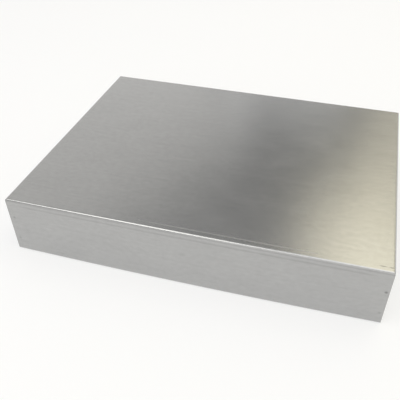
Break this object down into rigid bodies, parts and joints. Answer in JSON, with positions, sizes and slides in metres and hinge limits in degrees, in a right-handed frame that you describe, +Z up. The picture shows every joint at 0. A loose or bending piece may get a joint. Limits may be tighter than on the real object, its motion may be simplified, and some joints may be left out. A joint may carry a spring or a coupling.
{
  "type": "electronics chassis",
  "caption": "Plain rectangular electronics chassis folded from sheet aluminium, open underneath, with inward base flanges and spot-welded corner laps.",
  "frame": {"origin": "centre of the open base, in the plane that the base flanges rest on", "axes": "+X along the long front wall, +Y from the front wall to the rear wall, +Z up"},
  "size_m": [0.4318, 0.3302, 0.0762],
  "materials": {
    "sheet": "mill finish, fine rolled grain along the length"
  },
  "bodies": {
    "root": {"chassis": "sheet"}
  },
  "joints": []
}
